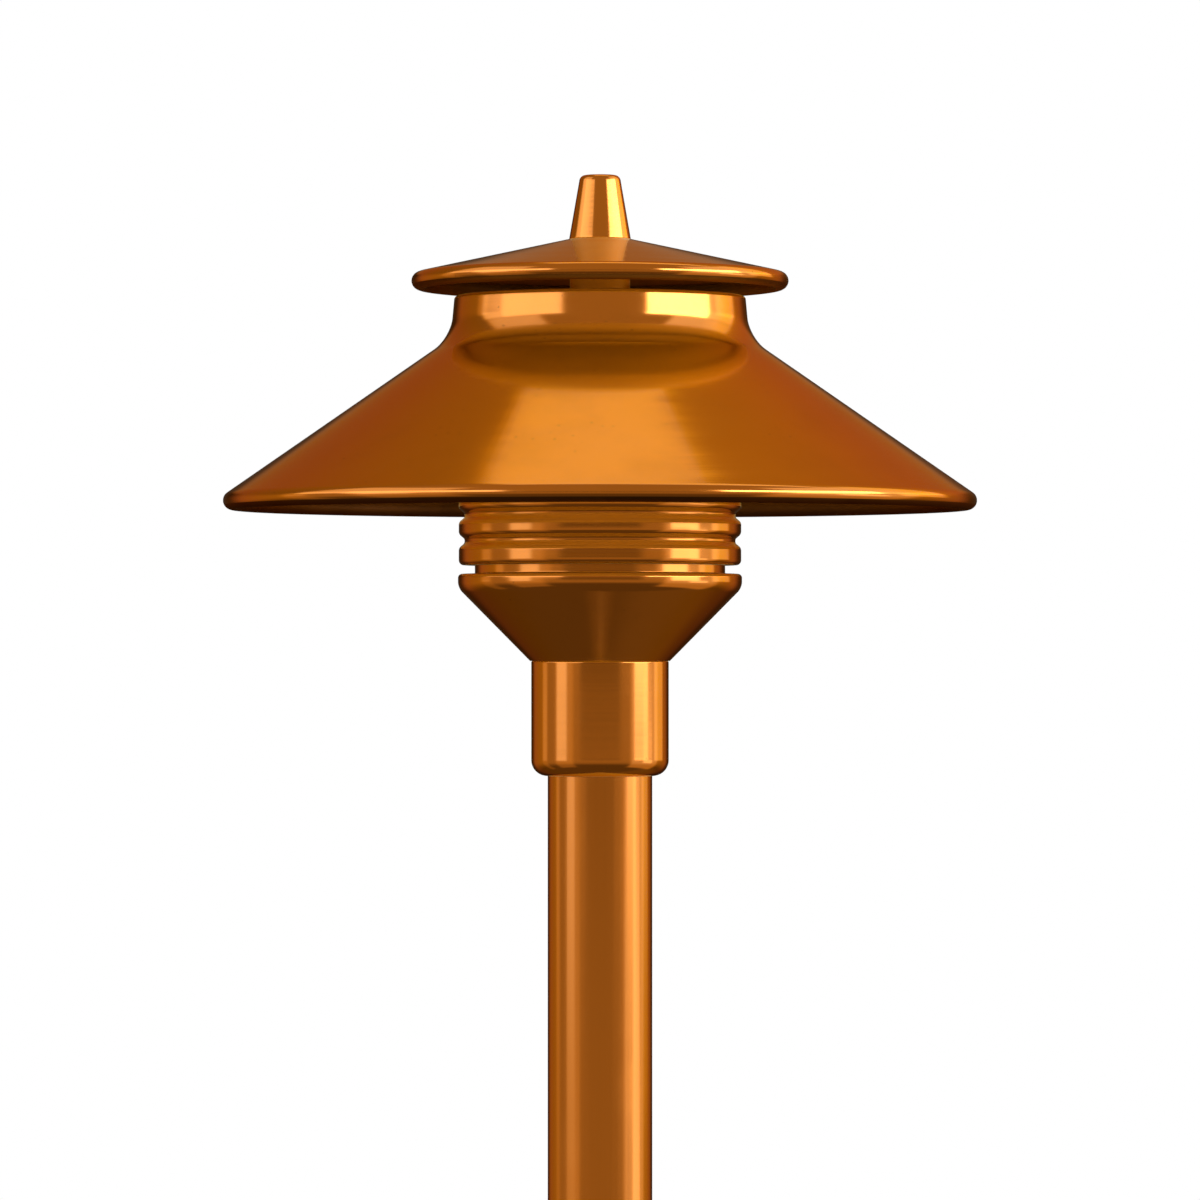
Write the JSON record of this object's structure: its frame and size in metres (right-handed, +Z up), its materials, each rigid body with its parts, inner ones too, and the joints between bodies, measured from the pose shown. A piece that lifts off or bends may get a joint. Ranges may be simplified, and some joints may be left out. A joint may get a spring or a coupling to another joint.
{
  "type": "landscape path light",
  "caption": "Copper path light with a two-tier hat over a ribbed, sealed lamp housing, on a tube stem with a plastic ground stake.",
  "frame": {"origin": "on the stem's axis at ground level, which is the underside of the stake's flange", "axes": "+Z up the stem's axis, -Y the front, +Y the side with the set screw and the stake's cable notch"},
  "size_m": [0.1828, 0.1828, 0.6569],
  "materials": {
    "copper_polished": "polished spun copper, lacquered",
    "copper_tube": "polished drawn copper tube, lacquered",
    "yellow_brass": "machined",
    "stainless_steel": "machined",
    "bright_aluminium": "bright rolled",
    "black_plastic": "moulded, lightly textured",
    "wire_plastic": "smooth insulation",
    "black_rubber": "moulded",
    "white_ceramic": "unglazed, fine grain",
    "clear_glass": "clear, polished",
    "filament_wire": "drawn tungsten"
  },
  "bodies": {
    "fixture": {"stake": "black_plastic", "foot_gasket": "black_rubber", "stem_adapter": "yellow_brass", "cable_grommet": "black_rubber", "stem": "copper_tube", "splice_connectors": "wire_plastic", "lead_wires": "wire_plastic", "hub": "copper_polished", "hub_oring": "black_rubber", "nipple": "yellow_brass", "nipple_nut": "yellow_brass", "housing_seal": "black_rubber", "housing": "copper_polished", "socket_bracket": "stainless_steel", "bracket_screws": "stainless_steel", "lamp_socket": "white_ceramic", "socket_contacts": "yellow_brass", "socket_screws": "stainless_steel", "reflector_disc": "bright_aluminium", "lens_gasket": "black_rubber"},
    "grub": {"set_screw": "stainless_steel"},
    "lamp": {"lamp_base": "white_ceramic", "lamp_glass": "clear_glass", "lamp_pins": "stainless_steel", "lamp_filament": "filament_wire"},
    "lens": {"lens": "clear_glass"},
    "collar": {"collar": "copper_polished", "lens_oring": "black_rubber", "posts": "copper_polished", "support_plate": "copper_polished", "post_screws": "stainless_steel", "centre_stud": "stainless_steel", "stud_nuts": "stainless_steel", "seat_washer": "stainless_steel"},
    "hat": {"shade": "copper_polished", "cap_gasket": "black_rubber", "cap_spacer": "copper_polished", "top_cap": "copper_polished"},
    "finial_washer": {"finial_washer": "black_rubber"},
    "finial": {"finial": "copper_polished"}
  },
  "joints": [
    {"name": "lamp_pull", "type": "slide", "parent": "fixture", "child": "lamp", "axis": [0, 0, 1], "range_m": [0, 0.008]},
    {"name": "set_screw_turn", "type": "hinge", "parent": "fixture", "child": "grub", "pos_m": [0, 0.0146, 0.3155], "axis": [0, 1, 0], "range_deg": [0, 720]},
    {"name": "lens_lift", "type": "slide", "parent": "fixture", "child": "lens", "axis": [0, 0, 1], "range_m": [0, 0.006]},
    {"name": "collar_turn", "type": "hinge", "parent": "lens", "child": "collar", "pos_m": [0, 0, 0.361], "axis": [0, 0, 1], "range_deg": [0, 1440]},
    {"name": "hat_lift", "type": "slide", "parent": "collar", "child": "hat", "axis": [0, 0, 1], "range_m": [0, 0.08]},
    {"name": "finial_rise", "type": "slide", "parent": "hat", "child": "finial_washer", "axis": [0, 0, 1], "range_m": [0, 0.008]},
    {"name": "finial_turn", "type": "hinge", "parent": "finial_washer", "child": "finial", "pos_m": [0, 0, 0.439], "axis": [0, 0, 1], "range_deg": [0, 2880]}
  ],
  "couplings": [
    {"joint": "lens_lift", "follows": "collar_turn", "m_per_rad": 0.00023873},
    {"joint": "finial_rise", "follows": "finial_turn", "m_per_rad": 0.00015915}
  ]
}
